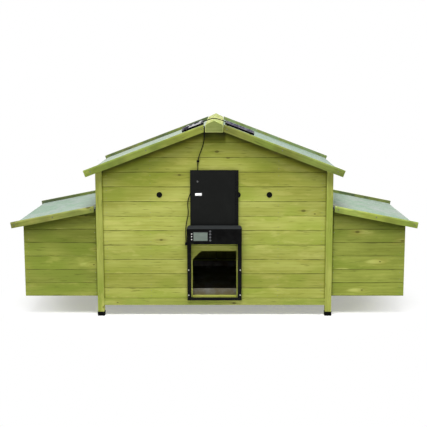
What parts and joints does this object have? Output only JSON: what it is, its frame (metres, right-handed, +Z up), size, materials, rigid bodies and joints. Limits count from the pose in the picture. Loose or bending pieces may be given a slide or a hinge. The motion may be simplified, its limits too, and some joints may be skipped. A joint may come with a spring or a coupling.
{
  "type": "chicken coop",
  "caption": "Raised wooden chicken coop with a gabled felt roof, hinged nest boxes on both sides, rear doors, a droppings tray and a solar pop-door opener.",
  "frame": {"origin": "on the ground, under the middle of the coop", "axes": "+X to the right seen from the front, +Y from the front to the rear, +Z up"},
  "size_m": [2.1, 0.888, 1.0268],
  "materials": {
    "pine_boards": "impregnated planed pine, satin",
    "pine_frame": "impregnated planed pine, satin",
    "pine_trim": "impregnated planed pine, satin",
    "roof_felt": "mineral roofing felt, matt and granular",
    "foot_plastic": "moulded, matt",
    "vent_plastic": "moulded, matt",
    "hinge_steel": "zinc plated",
    "tray_steel": "galvanised sheet",
    "opener_plastic": "moulded, fine texture",
    "door_sheet": "smooth sheet, satin",
    "gear_nylon": "moulded nylon, black",
    "motor_grey": "painted",
    "battery_wrap": "printed film, bare",
    "circuit_green": "solder mask",
    "display_glass": "clear cover over a blank display",
    "bezel_gloss": "gloss",
    "lamp_lens": "milky lens, unlit",
    "button_rubber": "moulded, matt",
    "panel_frame": "moulded, satin",
    "solar_cell": "glazed cells",
    "lead_black": "sheathed lead",
    "fitting_black": "moulded, matt"
  },
  "bodies": {
    "house": {"corner_posts": "pine_frame", "foot_caps": "foot_plastic", "bottom_rails": "pine_frame", "floor_panel": "pine_boards", "front_wall_boards": "pine_boards", "rear_wall_boards": "pine_boards", "side_wall_boards": "pine_boards", "wall_battens": "pine_frame", "roost_perches": "pine_frame", "perch_brackets": "pine_frame", "ridge_beam": "pine_frame", "roof_decks": "pine_trim", "roof_felts": "roof_felt", "barge_boards": "pine_trim", "ridge_cap": "pine_trim", "ridge_end_blocks": "pine_trim", "vent_plugs": "vent_plastic", "lid_hinge_rails": "pine_frame", "left_nest_boards": "pine_boards", "right_nest_boards": "pine_boards", "nest_battens": "pine_frame", "nest_floors": "pine_boards", "nest_dividers": "pine_boards", "fixed_hinge_leaves": "hinge_steel", "door_channels": "opener_plastic", "channel_screws": "hinge_steel", "opener_back_cover": "opener_plastic", "opener_case": "opener_plastic", "status_lamps": "lamp_lens", "circuit_board": "circuit_green", "display_pane": "display_glass", "display_bezel": "bezel_gloss", "gear_motor": "motor_grey", "battery_pack": "battery_wrap", "solar_panels": "panel_frame", "solar_cells": "solar_cell", "solar_wedges": "panel_frame", "control_lead": "lead_black", "panel_link": "lead_black", "cable_fittings": "fitting_black"},
    "pop_door": {"door_plate": "door_sheet", "door_rack": "gear_nylon"},
    "pinion": {"drive_pinion": "gear_nylon"},
    "up_key": {"up_button": "button_rubber"},
    "down_key": {"down_button": "button_rubber"},
    "menu_key": {"menu_button": "button_rubber"},
    "set_key": {"set_button": "button_rubber"},
    "left_lid": {"left_lid_boards": "pine_trim", "left_lid_felt": "roof_felt", "left_lid_hinges": "hinge_steel"},
    "right_lid": {"right_lid_boards": "pine_trim", "right_lid_felt": "roof_felt", "right_lid_hinges": "hinge_steel"},
    "left_door": {"left_door_boards": "pine_boards", "left_door_fittings": "hinge_steel"},
    "right_door": {"right_door_boards": "pine_boards", "right_door_fittings": "hinge_steel"},
    "turn_catch": {"turn_button": "pine_frame"},
    "tray": {"tray_pan": "tray_steel", "tray_front": "pine_boards"}
  },
  "joints": [
    {"name": "pop_door_slide", "type": "slide", "parent": "house", "child": "pop_door", "axis": [0, 0, -1], "range_m": [0, 0.295]},
    {"name": "pinion_spin", "type": "hinge", "parent": "house", "child": "pinion", "pos_m": [0.0965, -0.396, 0.439], "axis": [0, 1, 0], "range_deg": [0, 1260]},
    {"name": "left_lid_hinge", "type": "hinge", "parent": "house", "child": "left_lid", "pos_m": [-0.616, 0, 0.5707], "axis": [0, 1, 0], "range_deg": [0, 80]},
    {"name": "right_lid_hinge", "type": "hinge", "parent": "house", "child": "right_lid", "pos_m": [0.616, 0, 0.5707], "axis": [0, -1, 0], "range_deg": [0, 80]},
    {"name": "left_door_hinge", "type": "hinge", "parent": "house", "child": "left_door", "pos_m": [-0.31, 0.385, 0.375], "axis": [0, 0, 1], "range_deg": [0, 110]},
    {"name": "right_door_hinge", "type": "hinge", "parent": "house", "child": "right_door", "pos_m": [0.31, 0.385, 0.375], "axis": [0, 0, -1], "range_deg": [0, 110]},
    {"name": "turn_catch_pivot", "type": "hinge", "parent": "right_door", "child": "turn_catch", "pos_m": [0.018, 0.3843, 0.413], "axis": [0, -1, 0], "range_deg": [0, 90]},
    {"name": "tray_slide", "type": "slide", "parent": "house", "child": "tray", "axis": [0, 1, 0], "range_m": [0, 0.55]},
    {"name": "up_press", "type": "slide", "parent": "house", "child": "up_key", "axis": [0, 1, 0], "range_m": [0, 0.001], "stiffness_N_per_m": 800, "springref_m": -0.0005},
    {"name": "down_press", "type": "slide", "parent": "house", "child": "down_key", "axis": [0, 1, 0], "range_m": [0, 0.001], "stiffness_N_per_m": 800, "springref_m": -0.0005},
    {"name": "menu_press", "type": "slide", "parent": "house", "child": "menu_key", "axis": [0, 1, 0], "range_m": [0, 0.001], "stiffness_N_per_m": 800, "springref_m": -0.0005},
    {"name": "set_press", "type": "slide", "parent": "house", "child": "set_key", "axis": [0, 1, 0], "range_m": [0, 0.001], "stiffness_N_per_m": 800, "springref_m": -0.0005}
  ],
  "couplings": [
    {"joint": "pinion_spin", "follows": "pop_door_slide", "rad_per_m": 74.074}
  ]
}
